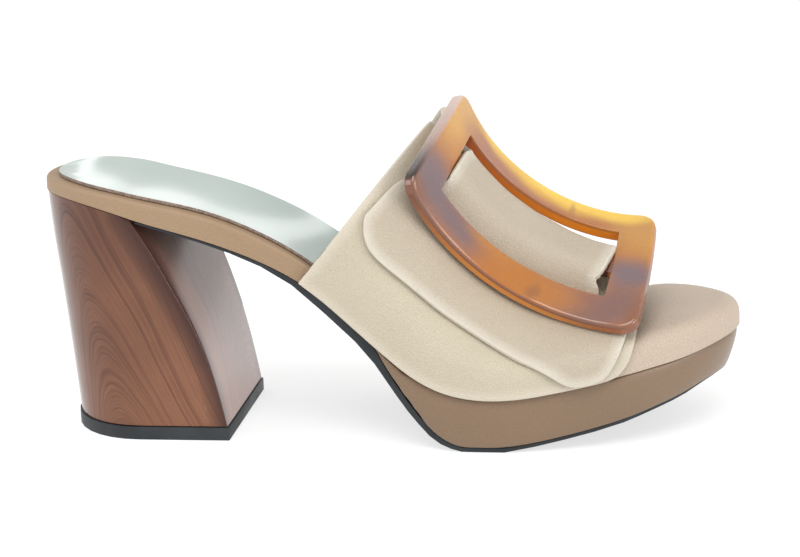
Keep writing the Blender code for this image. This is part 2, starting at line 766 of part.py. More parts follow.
def buckle_place():
    """Lay the buckle over the vamp, then lower it until it rests on the strap."""
    middle = vamp_point(BUCKLE_SHARE, BUCKLE_ROUND)
    along = (vamp_point(0.92, 0.60) - vamp_point(0.10, 0.60)).normalized()
    across = vamp_point(0.5, 0.90) - vamp_point(0.5, 0.45)
    across = (across - along * across.dot(along)).normalized()
    up = along.cross(across)
    axes = Matrix((along, across, up)).transposed()
    trim = (Matrix.Rotation(BUCKLE_TURN, 3, "Z") @ Matrix.Rotation(BUCKLE_NOSE, 3, "Y")
            @ Matrix.Rotation(BUCKLE_LEAN, 3, "X"))
    axes = axes @ trim
    up = axes.col[2]
    high = middle + up * 0.05
    place = Matrix.Translation(high) @ axes.to_4x4()

    bm = bmesh.new()
    arounds = steps(0.1, 1.5, 50)
    rows = [[bm.verts.new(vamp_point(k / 30, a)) for a in arounds] for k in range(31)]
    for a, b in zip(rows, rows[1:]):
        for k in range(len(arounds) - 1):
            bm.faces.new((a[k], a[k + 1], b[k + 1], b[k]))
    bm.normal_update()
    tree = BVHTree.FromBMesh(bm)
    bm.free()
    drop = 1.0
    for inset in (0.0, BUCKLE_BAR / 2, BUCKLE_BAR):
        for p in frame_loop(inset, BUCKLE_THICK):
            hit = tree.ray_cast(place @ p, -up)
            if hit[0]:
                drop = min(drop, hit[3] - (STRAP + 2 * GAP) / max(abs(hit[1].dot(up)), 0.4))
    return Matrix.Translation(-up * drop) @ place


def build_strap(finish, place):
    """Overlay band that runs under the buckle's long sides and over its hidden bar."""
    sections = centre_bar_points(BAR_TOP, BAR_TOP + CENTRE_BAR_THICK, ends=0.004)
    bar = tube_mesh([[place @ p for p in s] for s in sections])
    bmesh.ops.recalc_face_normals(bar, faces=bar.faces)
    bar.normal_update()
    tree = BVHTree.FromBMesh(bar)
    bar.free()

    def bar_lift(along, around):
        """Height of the hidden bar's top over the vamp, or None beside the bar."""
        p, n = vamp_point(along, around), vamp_normal(along, around)
        hit = tree.ray_cast(p + n * 0.05, -n)
        return 0.05 - hit[3] if hit[0] else None

    near, far = STRAP_WAIST
    ranges = {}
    for k in range(0, 21):
        along = 0.08 + 0.88 * k / 20
        over = [(a, bar_lift(along, a)) for a in steps(near, far, 56)]
        over = [(a, h) for a, h in over if h is not None]
        if over:
            ranges[along] = (over[0][0], over[-1][0], max(h for a, h in over))
    keys = sorted(ranges)

    def bulge(along, around):
        """The turned rear edge stands off the vamp on the far side of the buckle."""
        back = max(0.0, 1.0 - along / 0.22)
        aside = max(0.0, 1.0 - ((around - BULGE_ROUND) / BULGE_REACH) ** 2)
        return STRAP_RISE * back * back * aside

    def lift(along, around):
        at = min(max(along, keys[0]), keys[-1])
        after = min(bisect.bisect_left(keys, at), len(keys) - 1)
        before = max(after - 1, 0)
        share = 0.0 if after == before else (at - keys[before]) / (keys[after] - keys[before])
        first, last, top = [a + (b - a) * share for a, b in zip(ranges[keys[before]], ranges[keys[after]])]
        if around < first:
            t = 1.0 - (first - 0.01 - around) / STRAP_RAMP
        elif around > last:
            t = 1.0 - (around - last - 0.01) / smooth(STRAP_FALL, 1, along)
        else:
            t = 1.0
        t = min(max(t, 0.0), 1.0)
        return (top + GAP) * t * t * (3 - 2 * t) + bulge(along, around)

    def rounds(foot):
        lower = steps(foot, near, 10)[:-1]
        upper = steps(far, 2.0 - foot, 9)[1:]
        return lower + steps(near, far, 26) + upper
    count = 16
    grid = []
    for k in range(count + 1):
        share = (k / count + (1.0 - math.cos(math.pi * k / count)) / 2) / 2
        foot = smooth(STRAP_FOOT, 1, share)
        row = []
        for around in rounds(foot):
            rear, front = smooth(STRAP_SIDES, 1, around), smooth(STRAP_SIDES, 2, around)
            along = rear + (front - rear) * share
            p, n = vamp_point(along, around), vamp_normal(along, around)
            row.append((p + n * (GAP + STRAP + lift(along, around)), n))
        grid.append(row)
    return shell("strap", grid, STRAP, finish)


def main():
    for old in list(bpy.data.objects):
        bpy.data.objects.remove(old, do_unlink=True)

    rubber = material("charcoal rubber", (0.040, 0.045, 0.048), 0.55)
    wood = material("lacquered wood", (0.190, 0.075, 0.035), 0.22)
    brown = material("brown leather", (0.300, 0.190, 0.120), 0.55)
    tan = material("tan leather", (0.540, 0.400, 0.290), 0.55)
    sage = material("sage lining", (0.500, 0.600, 0.560), 0.45)
    cream = material("cream leather", (0.690, 0.610, 0.480), 0.50)
    strap_cream = material("cream strap leather", (0.700, 0.630, 0.510), 0.50)
    resin = material("tortoiseshell resin", (0.560, 0.230, 0.100), 0.12)

    build_top_piece(rubber)
    build_heel(wood)
    build_outsole(rubber)
    build_platform(brown)
    build_footbed(tan)
    build_sock(sage)
    build_vamp(cream)
    place = buckle_place()
    build_strap(strap_cream, place)
    build_buckle(resin, place)


main()
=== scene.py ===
import math

import bmesh
import bpy
from mathutils import Matrix, Vector
from mathutils.bvhtree import BVHTree
from mathutils.kdtree import KDTree


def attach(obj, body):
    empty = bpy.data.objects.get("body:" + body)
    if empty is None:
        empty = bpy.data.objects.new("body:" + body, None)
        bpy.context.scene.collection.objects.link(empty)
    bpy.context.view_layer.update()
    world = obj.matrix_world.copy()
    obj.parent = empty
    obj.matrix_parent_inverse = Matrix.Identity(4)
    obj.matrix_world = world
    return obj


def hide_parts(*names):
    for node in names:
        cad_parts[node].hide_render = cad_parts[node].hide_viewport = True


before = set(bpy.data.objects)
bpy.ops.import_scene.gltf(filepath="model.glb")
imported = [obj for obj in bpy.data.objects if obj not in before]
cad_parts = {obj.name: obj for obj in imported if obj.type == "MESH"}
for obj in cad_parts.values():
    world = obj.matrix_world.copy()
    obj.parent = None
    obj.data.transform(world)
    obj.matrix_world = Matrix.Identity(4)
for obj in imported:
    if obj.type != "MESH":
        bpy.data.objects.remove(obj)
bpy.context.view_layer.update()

# Camera. It stands where the photograph was taken from, a little above the outer side of the shoe,
# rolled by a degree and a half, with a long lens.
turn, rise, roll = math.radians(6.7727), math.radians(13.9714), math.radians(1.5)
back = Vector((math.sin(turn) * math.cos(rise), -math.cos(turn) * math.cos(rise), math.sin(rise)))
right = Vector((math.cos(turn), math.sin(turn), 0.0))
above = back.cross(right)
lens = bpy.data.cameras.new("camera")
lens.sensor_width = 36.0
lens.lens = 84.816
lens.clip_start = 0.01
camera = bpy.data.objects.new("camera", lens)
axes = (right * math.cos(roll) - above * math.sin(roll),
        right * math.sin(roll) + above * math.cos(roll), back)
camera.matrix_world = (Matrix.Translation((0.149769, -0.590203, 0.194566))
                       @ Matrix(axes).transposed().to_4x4())
bpy.context.scene.collection.objects.link(camera)
bpy.context.scene.camera = camera

# Floor and light. A white paper sweep, a little overexposed, under a soft box above the outer side,
# with a fill at the right, a card at the left and a thin low strip far behind the shoe.
bpy.context.scene.view_settings.view_transform = "Standard"
bpy.ops.object.select_all(action="DESELECT")
bpy.ops.mesh.primitive_plane_add(size=12.0, location=(0.1, 0.0, 0.0))
floor = bpy.context.object
floor.name = "paper_floor"
paper = bpy.data.materials.new("white paper")
paper.use_nodes = True
paper_shader = paper.node_tree.nodes["Principled BSDF"]
paper_shader.inputs["Base Color"].default_value = (0.42, 0.42, 0.42, 1.0)
paper_shader.inputs["Roughness"].default_value = 0.9
paper_shader.inputs["Specular IOR Level"].default_value = 0.1
paper_shader.inputs["Emission Color"].default_value = (1.0, 1.0, 1.0, 1.0)
paper_shader.inputs["Emission Strength"].default_value = 0.66
floor.data.materials.append(paper)

world = bpy.data.worlds.new("studio")
world.use_nodes = True
world.node_tree.nodes["Background"].inputs["Color"].default_value = (1.0, 1.0, 1.0, 1.0)
world.node_tree.nodes["Background"].inputs["Strength"].default_value = 0.82
bpy.context.scene.world = world


def soft_box(name, place, aim, width, height, power):
    lamp = bpy.data.lights.new(name, "AREA")
    lamp.shape = "RECTANGLE"
    lamp.size = width
    lamp.size_y = height
    lamp.energy = power
    made = bpy.data.objects.new(name, lamp)
    made.location = place
    made.rotation_euler = (Vector(aim) - Vector(place)).to_track_quat("-Z", "Y").to_euler()
    bpy.context.scene.collection.objects.link(made)


soft_box("top soft box", (0.10, -0.85, 1.25), (0.08, 0.0, 0.0), 1.0, 0.7, 9.8)
soft_box("right fill", (1.30, -0.70, 0.40), (0.08, 0.0, 0.05), 0.8, 0.6, 6.0)
soft_box("left card", (-1.10, -0.45, 0.50), (0.0, 0.0, 0.05), 0.6, 0.6, 3.2)
soft_box("back strip", (0.05, 1.50, 0.46), (0.05, 0.0, 0.06), 1.2, 0.05, 0.36)


# Top-piece. The heel stands on a lift of hard charcoal rubber, cut from sheet, glued and nailed
# on and ground flush, so its lower edge is a little rounded.
def solid_copy(node, name):
    """Copy of a solid for modelling, welded and turned back from triangles to its quads."""
    piece = bpy.data.objects.new(name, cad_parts[node].data.copy())
    piece.data.name = name
    piece.data.materials.clear()
    bpy.context.scene.collection.objects.link(piece)
    bpy.ops.object.select_all(action="DESELECT")
    piece.select_set(True)
    bpy.context.view_layer.objects.active = piece
    bpy.ops.mesh.customdata_custom_splitnormals_clear()
    bpy.ops.object.mode_set(mode="EDIT")
    bpy.ops.mesh.select_all(action="SELECT")
    bpy.ops.mesh.remove_doubles(threshold=0.00002)
    bpy.ops.mesh.tris_convert_to_quads(face_threshold=math.radians(40),
                                       shape_threshold=math.radians(70))
    bpy.ops.object.mode_set(mode="OBJECT")
    return piece


def round_edges(piece, width, segments=3, angle=32.0):
    """Bevel every edge sharper than the angle, and shade the rest smooth."""
    bevel = piece.modifiers.new("edges", "BEVEL")
    bevel.width = width
    bevel.segments = segments
    bevel.limit_method = "ANGLE"
    bevel.angle_limit = math.radians(angle)
    bevel.use_clamp_overlap = True
    bevel.harden_normals = False
    bpy.ops.object.select_all(action="DESELECT")
    piece.select_set(True)
    bpy.context.view_layer.objects.active = piece
    bpy.ops.object.modifier_apply(modifier="edges")
    bpy.ops.object.shade_smooth_by_angle(angle=math.radians(48))


def refine(piece, levels, angle=50.0):
    """Subdivide a piece smoothly and keep its sharp edges where they are."""
    bpy.ops.object.select_all(action="DESELECT")
    piece.select_set(True)
    bpy.context.view_layer.objects.active = piece
    bpy.ops.object.mode_set(mode="EDIT")
    bpy.ops.mesh.select_mode(type="EDGE")
    bpy.ops.mesh.select_all(action="DESELECT")
    bpy.ops.mesh.edges_select_sharp(sharpness=math.radians(angle))
    bpy.ops.transform.edge_crease(value=1.0)
    bpy.ops.object.mode_set(mode="OBJECT")
    smooth = piece.modifiers.new("smooth", "SUBSURF")
    smooth.levels = levels
    smooth.render_levels = levels
    bpy.ops.object.modifier_apply(modifier="smooth")


def new_material(name):
    made = bpy.data.materials.new(name)
    made.use_nodes = True
    return made, made.node_tree, made.node_tree.nodes["Principled BSDF"]


def add_node(tree, kind, settings=None, **sockets):
    """Shader node with its settings, and its sockets given as values or as links."""
    made = tree.nodes.new(kind)
    for key, value in (settings or {}).items():
        setattr(made, key, value)
    for key, value in sockets.items():
        place = int(key[1:]) if key[0] == "s" and key[1:].isdigit() else key.replace("_", " ")
        if isinstance(value, bpy.types.NodeSocket):
            tree.links.new(value, made.inputs[place])
        else:
            made.inputs[place].default_value = value
    return made


def ramp(tree, factor, *stops):
    """Colour ramp from (position, colour) stops."""
    made = tree.nodes.new("ShaderNodeValToRGB")
    while len(made.color_ramp.elements) < len(stops):
        made.color_ramp.elements.new(0.5)
    for element, (place, colour) in zip(made.color_ramp.elements, stops):
        element.position = place
        element.color = (*colour, 1.0)
    tree.links.new(factor, made.inputs["Fac"])
    return made.outputs["Color"]


def rubber(name, colour):
    made, tree, shader = new_material(name)
    coords = tree.nodes.new("ShaderNodeTexCoord").outputs["Object"]
    dust = add_node(tree, "ShaderNodeTexNoise", Vector=coords, Scale=90.0, Detail=4.0)
    grit = add_node(tree, "ShaderNodeTexNoise", Vector=coords, Scale=2600.0, Detail=2.0)
    light = tuple(min(1.0, c * 1.5 + 0.006) for c in colour)
    dusty = ramp(tree, dust.outputs["Fac"], (0.38, colour), (0.75, light))
    tree.links.new(dusty, shader.inputs["Base Color"])
    rough = add_node(tree, "ShaderNodeMapRange",
                     s0=dust.outputs["Fac"], s1=0.3, s2=0.7, s3=0.42, s4=0.62)
    tree.links.new(rough.outputs[0], shader.inputs["Roughness"])
    shader.inputs["Specular IOR Level"].default_value = 0.32
    bump = add_node(tree, "ShaderNodeBump", Height=grit.outputs["Fac"], Strength=0.25, Distance=0.00008)
    tree.links.new(bump.outputs["Normal"], shader.inputs["Normal"])
    return made


top_piece = solid_copy("top_piece", "rubber_lift")
round_edges(top_piece, 0.0004)
charcoal = rubber("charcoal rubber", (0.020, 0.023, 0.026))
top_piece.data.materials.append(charcoal)
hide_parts("top_piece")
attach(top_piece, "root")


# Heel block. A light core is wrapped in dark wood veneer with arched grain and finished with a
# thick gloss lacquer. Its breast leans forward to the floor and its corners are rounded.
def heel_wood(name, strength, tint, gloss, blur):
    """Veneer: arches round a leaning axis, with dark lines, fibres and slow changes of tone."""
    made, tree, shader = new_material(name)
    coords = tree.nodes.new("ShaderNodeTexCoord").outputs["Object"]
    x, y, z = add_node(tree, "ShaderNodeSeparateXYZ", Vector=coords).outputs

    def math_node(operation, a, b=0.0, c=0.0):
        return add_node(tree, "ShaderNodeMath", {"operation": operation}, s0=a, s1=b, s2=c).outputs[0]

    def noise(scale, detail, **more):
        return add_node(tree, "ShaderNodeTexNoise", Vector=more.get("vector", coords), Scale=scale,
                        Detail=detail, Roughness=more.get("rough", 0.5)).outputs["Fac"]

    def multiply(factor, a, b):
        return add_node(tree, "ShaderNodeMix", {"data_type": "RGBA", "blend_type": "MULTIPLY"},
                        s0=factor, s6=a, s7=b).outputs[2]

    sway = math_node("MULTIPLY_ADD", noise(17.0, 1.5), 0.008, -0.004)
    along = math_node("ADD", math_node("MULTIPLY_ADD", y, -0.8, -0.0216), math_node("ADD", x, sway))
    off = math_node("ADD", math_node("MULTIPLY_ADD", z, 0.28, 0.0068), along)
    arch = math_node("MULTIPLY", math_node("MULTIPLY", off, off), 125.0)
    rings = math_node("ADD", math_node("ADD", z, arch), math_node("MULTIPLY", noise(60.0, 2.0), 0.004))
    slow = add_node(tree, "ShaderNodeTexNoise", {"noise_dimensions": "1D"},
                    W=rings, Scale=40.0, Detail=1.0, Roughness=0.5).outputs["Fac"]
    step = math_node("FRACT", math_node("MULTIPLY", slow, 6.0))
    thin_step = add_node(tree, "ShaderNodeTexNoise", {"noise_dimensions": "1D"},
                         W=rings, Scale=700.0, Detail=2.0, Roughness=0.6).outputs["Fac"]
    weave = add_node(tree, "ShaderNodeCombineXYZ", X=math_node("MULTIPLY", rings, 1500.0),
                     Y=math_node("MULTIPLY", off, 150.0), Z=math_node("MULTIPLY", z, 90.0)).outputs[0]
    fibre = noise(1.0, 4.0, vector=weave, rough=0.65)
    flame = noise(42.0, 3.0)
    low = math_node("MULTIPLY_ADD", math_node("ADD", x, math_node("MULTIPLY", z, -0.7)), 4.4, 0.12)
    tone = math_node("ADD", math_node("MULTIPLY_ADD", fibre, 0.62, low), math_node("MULTIPLY", flame, 0.40))
    ground = ramp(tree, tone, (0.34, (0.120, 0.046, 0.024)), (0.54, (0.170, 0.068, 0.035)),
                  (0.76, (0.235, 0.100, 0.052)))
    bold = ramp(tree, step, (0.0, (0.46, 0.36, 0.38)), (0.05, (0.76, 0.70, 0.68)),
                (0.14, (0.95, 0.93, 0.92)), (0.50, (1.0, 1.0, 1.0)), (1.0, (0.97, 0.95, 0.94)))
    thin = ramp(tree, thin_step, (0.32, (0.80, 0.74, 0.72)), (0.46, (0.97, 0.96, 0.95)),
                (0.62, (1.04, 1.04, 1.03)))
    wood = multiply(strength, multiply(strength, ground, bold), thin)
    # Darker in a band about 5 mm wide along the heel's upright corners.
    edge = add_node(tree, "ShaderNodeAttribute", {"attribute_name": "edge"}).outputs["Fac"]
    corner_darkened = add_node(tree, "ShaderNodeMix", {"data_type": "RGBA"}, s0=math_node("POWER", edge, 0.6),
                       s6=wood, s7=(0.048, 0.014, 0.008, 1.0)).outputs[2]
    # The tint multiplies the colour; the breast's lighter lilac tint is a painted reflection.
    tree.links.new(multiply(1.0, corner_darkened, tint), shader.inputs["Base Color"])
    shader.inputs["Roughness"].default_value = 0.45
    shader.inputs["Specular IOR Level"].default_value = 0.15
    shader.inputs["Coat Weight"].default_value = 1.0
    shader.inputs["Coat IOR"].default_value = gloss
    shader.inputs["Coat Roughness"].default_value = blur
    pores = add_node(tree, "ShaderNodeBump", Height=fibre, Strength=0.10, Distance=0.00005)
    tree.links.new(pores.outputs["Normal"], shader.inputs["Normal"])
    return made


heel = solid_copy("heel", "heel_block")
shape = bmesh.new()
shape.from_mesh(heel.data)
corner = []
for edge in shape.edges:
    first, second = (vertex.co for vertex in edge.verts)
    turns = len(edge.link_faces) == 2 and edge.calc_face_angle() > 0.45
    if turns and abs(first.z - second.z) > 0.5 * (first - second).length:
        corner += [first.lerp(second, step / 12.0) for step in range(13)]
shape.free()
corner_tree = KDTree(len(corner))
for index, point in enumerate(corner):
    corner_tree.insert(point, index)
corner_tree.balance()
round_edges(heel, 0.0009, 4, 24.0)
refine(heel, 2, 24.0)
store = heel.data.attributes.new("edge", "FLOAT", "POINT")
for value, vertex in zip(store.data, heel.data.vertices):
    value.value = max(0.0, 1.0 - corner_tree.find(vertex.co)[2] / 0.0052)
heel.data.materials.append(heel_wood("lacquered walnut", 1.0, (1.0, 1.0, 1.0, 1.0), 1.36, 0.08))
# The breast is the same walnut with its grain faded and tinted lighter and lilac: a painted reflection of the
# bright floor.
heel.data.materials.append(heel_wood("breast with painted reflection", 0.45, (1.3, 1.3, 1.5, 1.0), 2.05, 0.22))
for face in heel.data.polygons:
    if face.normal.x > 0.62:
        face.material_index = 1
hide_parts("heel")
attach(heel, "root")

# Outsole. One thin sheet of moulded charcoal rubber runs from the heel's breast, through the arch
# and under the platform, cemented on. Its edge is trimmed just inside the covers, and fine cross
# grooves under the forefoot are its tread.
first_groove, pitch, near = 0.0980, 0.0036, 0.001
groove_width, groove_height, border = 0.0013, 0.0010, 0.0110
outsole =solid_copy("outsole", "rubber_sole")
round_edges(outsole, 0.0003, 2)
outsole.data.materials.append(rubber("sole rubber", (0.018, 0.022, 0.025)))
bpy.ops.object.select_all(action="DESELECT")
for row in range(23):
    middle = first_groove + row * pitch
    levels = [outsole.ray_cast(Vector((middle + step, 0.004, -0.05)), Vector((0.0, 0.0, 1.0)))[1].z
              for step in (-near, 0.0, near)]
    inside = levels[1] + 0.0012
    sides = [outsole.ray_cast(Vector((middle, start, inside)), Vector((0.0, way, 0.0)))[1].y
             for start, way in ((-0.1, 1.0), (0.1, -1.0))]
    slope = math.atan2(levels[2] - levels[0], 2.0 * near)
    length = sides[1] - sides[0] - border
    bpy.ops.mesh.primitive_cube_add(size=1.0, location=(middle, sum(sides) / 2.0, levels[1]),
                                    rotation=(0.0, -slope, 0.0),
                                    scale=(groove_width, length, groove_height))
    if row:
        cutter.select_set(True)
        bpy.context.view_layer.objects.active = cutter
        bpy.ops.object.join()
    cutter = bpy.context.object
grooves = outsole.modifiers.new("tread", "BOOLEAN")
grooves.object = cutter
grooves.solver = "EXACT"
bpy.ops.object.select_all(action="DESELECT")
outsole.select_set(True)
bpy.context.view_layer.objects.active = outsole
bpy.ops.object.modifier_apply(modifier="tread")
bpy.data.objects.remove(cutter)
bpy.ops.object.shade_smooth_by_angle(angle=math.radians(40))
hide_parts("outsole")
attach(outsole, "root")


# Platform. A wedge of light board wrapped in one strip of smooth brown leather, drawn tight round
# the toe and turned in above and below.
def leather(name, colour, shade, grain=0.0008, relief=0.00012, rough=0.50, pore=0.88, rim_highlight=None):
    """Smooth leather: fine pebbles darker in their creases, a slow mottle, and a painted highlight along the
    rims.
    """
    made, tree, shader = new_material(name)
    coords = tree.nodes.new("ShaderNodeTexCoord").outputs["Object"]
    pebbles = add_node(tree, "ShaderNodeTexVoronoi", {"feature": "DISTANCE_TO_EDGE"}, Vector=coords,
                       Scale=1.0 / grain).outputs["Distance"]
    wrinkle = add_node(tree, "ShaderNodeTexNoise", Vector=coords, Scale=1.3 / grain, Detail=3.0,
                       Roughness=0.6).outputs["Fac"]
    mottle = add_node(tree, "ShaderNodeTexNoise", Vector=coords, Scale=40.0, Detail=2.0).outputs["Fac"]
    tint = add_node(tree, "ShaderNodeMath", {"operation": "MULTIPLY_ADD"},
                    s0=wrinkle, s1=0.3, s2=mottle).outputs[0]
    ground = ramp(tree, tint, (0.45, shade), (0.85, colour))
    creases = ramp(tree, pebbles, (0.0, (pore, pore * 0.99, pore * 0.97)), (0.10, (1.0, 1.0, 1.0)))
    ground = add_node(tree, "ShaderNodeMix", {"data_type": "RGBA", "blend_type": "MULTIPLY"},
                      s0=1.0, s6=ground, s7=creases).outputs[2]
    if rim_highlight:
        # Painted highlight: a lighter colour fading out within 1.2 mm of the sharp edges.
        edge = add_node(tree, "ShaderNodeAttribute", {"attribute_name": "edge"}).outputs["Fac"]
        bead = ramp(tree, edge, (0.0, (1.0, 1.0, 1.0)), (0.0012, (0.0, 0.0, 0.0)))
        ground = add_node(tree, "ShaderNodeMix", {"data_type": "RGBA"}, s0=bead, s6=ground,
                          s7=(*rim_highlight, 1.0)).outputs[2]
    tree.links.new(ground, shader.inputs["Base Color"])
    polish = add_node(tree, "ShaderNodeMapRange", s0=mottle, s1=0.3, s2=0.7, s3=rough - 0.06, s4=rough + 0.07)
    tree.links.new(polish.outputs[0], shader.inputs["Roughness"])
    height = add_node(tree, "ShaderNodeMath", {"operation": "MINIMUM"}, s0=pebbles, s1=0.16).outputs[0]
    height = add_node(tree, "ShaderNodeMath", {"operation": "MULTIPLY_ADD"},
                      s0=height, s1=4.0, s2=wrinkle).outputs[0]
    bump = add_node(tree, "ShaderNodeBump", Height=height, Strength=0.6, Distance=relief)
    tree.links.new(bump.outputs["Normal"], shader.inputs["Normal"])
    return made


def mark_rim(piece, angle, bead=0.0, width=0.0006):
    """Store each point's distance from the sharp edges, and raise a bead along them."""
    mesh = bmesh.new()
    mesh.from_mesh(piece.data)
    mesh.normal_update()
    sharp = set()
    for line in mesh.edges:
        if len(line.link_faces) == 2 and line.calc_face_angle() > math.radians(angle):
            sharp.update(line.verts)
    tree = KDTree(len(sharp))
    for point in sharp:
        tree.insert(point.co, point.index)
    tree.balance()
    away = [tree.find(point.co)[2] for point in mesh.verts]
    for point, gap in zip(mesh.verts, away):
        if point not in sharp:
            point.co += point.normal * bead * math.exp(-((gap - width) / (0.7 * width)) ** 2)
    mesh.to_mesh(piece.data)
    mesh.free()
    store = piece.data.attributes.new("edge", "FLOAT", "POINT")
    for value, gap in zip(store.data, away):
        value.value = gap


platform = solid_copy("platform", "platform_cover")
refine(platform, 2)
round_edges(platform, 0.0007, 3)
bpy.ops.object.mode_set(mode="EDIT")
bpy.ops.mesh.select_mode(type="VERT")
bpy.ops.mesh.select_all(action="SELECT")
bpy.ops.mesh.remove_doubles(threshold=0.00003)
bpy.ops.mesh.dissolve_degenerate(threshold=0.00002)
bpy.ops.object.mode_set(mode="OBJECT")
brown = leather("brown leather", (0.200, 0.120, 0.060), (0.180, 0.106, 0.052))
brown_shader = brown.node_tree.nodes["Principled BSDF"]
brown_shader.inputs["Coat Weight"].default_value = 0.7
brown_shader.inputs["Coat Roughness"].default_value = 0.34
platform.data.materials.append(brown)
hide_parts("platform")
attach(platform, "root")

# Footbed. Board and foam wrapped in smooth tan leather. It is thin at the seat and arch and
# padded under the toes, where the cover shows in front of the vamp.
footbed = solid_copy("footbed", "footbed_cover")
refine(footbed, 2)
round_edges(footbed, 0.0010, 3)
footbed.data.materials.append(leather("tan leather", (0.335, 0.225, 0.135), (0.312, 0.207, 0.121)))
# The toe is the same tan leather painted lighter and greyer: painted light from above and a painted sheen.
footbed.data.materials.append(leather("toe leather with painted light", (0.520, 0.425, 0.335), (0.480, 0.388, 0.302),
                                      grain=0.0009, relief=0.00016, pore=0.84))
for face in footbed.data.polygons:
    if face.center.x > 0.105:
        face.material_index = 1
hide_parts("footbed")
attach(footbed, "root")


# Sock lining. Thin pale sage lining with a satin shine, cut to shape with a raw edge and glued on
# the footbed. It runs on under the vamp.
def satin_lining(name, colour, shade):
    made, tree, shader = new_material(name)
    coords = tree.nodes.new("ShaderNodeTexCoord").outputs["Object"]
    cloud = add_node(tree, "ShaderNodeTexNoise", Vector=coords, Scale=30.0, Detail=2.0)
    grain = add_node(tree, "ShaderNodeTexNoise", Vector=coords, Scale=1500.0, Detail=3.0)
    y = add_node(tree, "ShaderNodeSeparateXYZ", Vector=coords).outputs[1]
    dish = add_node(tree, "ShaderNodeMath", {"operation": "POWER"}, s0=y, s1=2.0).outputs[0]
    dish = add_node(tree, "ShaderNodeMath", {"operation": "MULTIPLY"}, s0=dish, s1=2.0).outputs[0]
    hollow = add_node(tree, "ShaderNodeBump", Height=dish, Strength=1.0, Distance=1.0)
    clouded = ramp(tree, cloud.outputs["Fac"], (0.35, shade), (0.65, colour))
    tree.links.new(clouded, shader.inputs["Base Color"])
    shader.inputs["Roughness"].default_value = 0.45
    shader.inputs["Specular IOR Level"].default_value = 0.20
    shader.inputs["Coat Weight"].default_value = 1.0
    shader.inputs["Coat IOR"].default_value = 1.24
    shader.inputs["Coat Roughness"].default_value = 0.07
    bump = add_node(tree, "ShaderNodeBump", Height=grain.outputs["Fac"], Strength=0.20, Distance=0.00004,
                    Normal=hollow.outputs["Normal"])
    tree.links.new(bump.outputs["Normal"], shader.inputs["Normal"])
    return made


def raw_edge(name, colour, shade):
    made, tree, shader = new_material(name)
    coords = tree.nodes.new("ShaderNodeTexCoord").outputs["Object"]
    fuzz = add_node(tree, "ShaderNodeTexNoise", Vector=coords, Scale=1400.0, Detail=3.0)
    fibres = ramp(tree, fuzz.outputs["Fac"], (0.40, shade), (0.62, colour))
    tree.links.new(fibres, shader.inputs["Base Color"])
    shader.inputs["Roughness"].default_value = 0.85
    bump = add_node(tree, "ShaderNodeBump", Height=fuzz.outputs["Fac"], Strength=0.6, Distance=0.00012)
    tree.links.new(bump.outputs["Normal"], shader.inputs["Normal"])
    return made


sock = solid_copy("sock", "sage_sock")
refine(sock, 1)
sage = satin_lining("sage lining", (0.380, 0.455, 0.412), (0.348, 0.424, 0.382))
sock.data.materials.append(sage)
sock.data.materials.append(raw_edge("raw lining edge", (0.330, 0.250, 0.205), (0.190, 0.135, 0.110)))
for face in sock.data.polygons:
    if abs(face.normal.z) < 0.6 and face.center.x < 0.09:
        face.material_index = 1
bpy.ops.object.shade_smooth_by_angle(angle=math.radians(40))
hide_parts("sock")
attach(sock, "root")

# Vamp. One wide band of cream leather over a sage lining, lasted under the footbed at both sides
# and open at the toe and behind. Its edges are turned in and glued.
def outward(face):
    """How far a face of the upper looks away from the middle of the foot, from -1 to 1."""
    away = face.center - Vector((face.center.x, 0.008, 0.038))
    return face.normal.dot(away.normalized())


vamp = solid_copy("vamp", "leather_vamp")
refine(vamp, 2)
mark_rim(vamp, 40.0, 0.0001)
# Its rim colour is a painted highlight along the turned edges.
vamp.data.materials.append(leather("cream leather", (0.515, 0.456, 0.345), (0.488, 0.430, 0.324),
                                   grain=0.00085, relief=0.00020, rim_highlight=(0.58, 0.52, 0.42)))
vamp.data.materials.append(sage)
vamp.data.materials.append(leather("vamp edge", (0.400, 0.330, 0.250), (0.330, 0.265, 0.195)))
for face in vamp.data.polygons:
    high_rear = face.center.z > 0.070 and face.center.x < 0.10
    facing = outward(face)
    face.material_index = 0 if facing > 0.45 else 1 if facing < -0.45 or high_rear else 2
round_edges(vamp, 0.0004, 3)
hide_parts("vamp")
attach(vamp, "root")

# Overlay strap. A second band of the same leather, glued down at its lower ends, that passes
# under the buckle's long sides and over its hidden bar. Its turned edges stand a little proud.
lay = Matrix(((0.831424, 0.291556, 0.472999, 0.12623), (-0.032948, 0.875644, -0.481832, -0.009479),
              (-0.55466, 0.385023, 0.737638, 0.074), (0.0, 0.0, 0.0, 1.0)))


def fit_window(piece):
    """Draw the strap's edges out to straight lines just inside the buckle's window."""
    local = [lay.inverted() @ v.co for v in piece.data.vertices]
    for side, near_end, far_end in ((1.0, 0.0284, 0.0287), (-1.0, 0.0288, 0.0289)):
        shown = [(i, p) for i, p in enumerate(local)
                 if side * p.x > 0.014 and -0.0100 < p.y < 0.0080 and p.z > -0.0088]
        edge = {}
        for _, p in shown:
            row = round(p.y / 0.0008)
            edge[row] = max(edge.get(row, 0.0), side * p.x)
        for i, p in shown:
            row = round(p.y / 0.0008)
            reach = sum(edge.get(row + k, edge[row]) for k in (-1, 0, 1)) / 3.0
            wanted = near_end + (far_end - near_end) * (p.y / 0.008 + 1.0) / 2.0
            fade = min(1.0, (p.y + 0.0100) / 0.0025, (0.0080 - p.y) / 0.0020, (p.z + 0.0088) / 0.0012)
            moved = 0.014 + (side * p.x - 0.014) * (1.0 + fade * (wanted - reach) / (reach - 0.014))
            piece.data.vertices[i].co = lay @ Vector((side * moved, p.y, p.z))


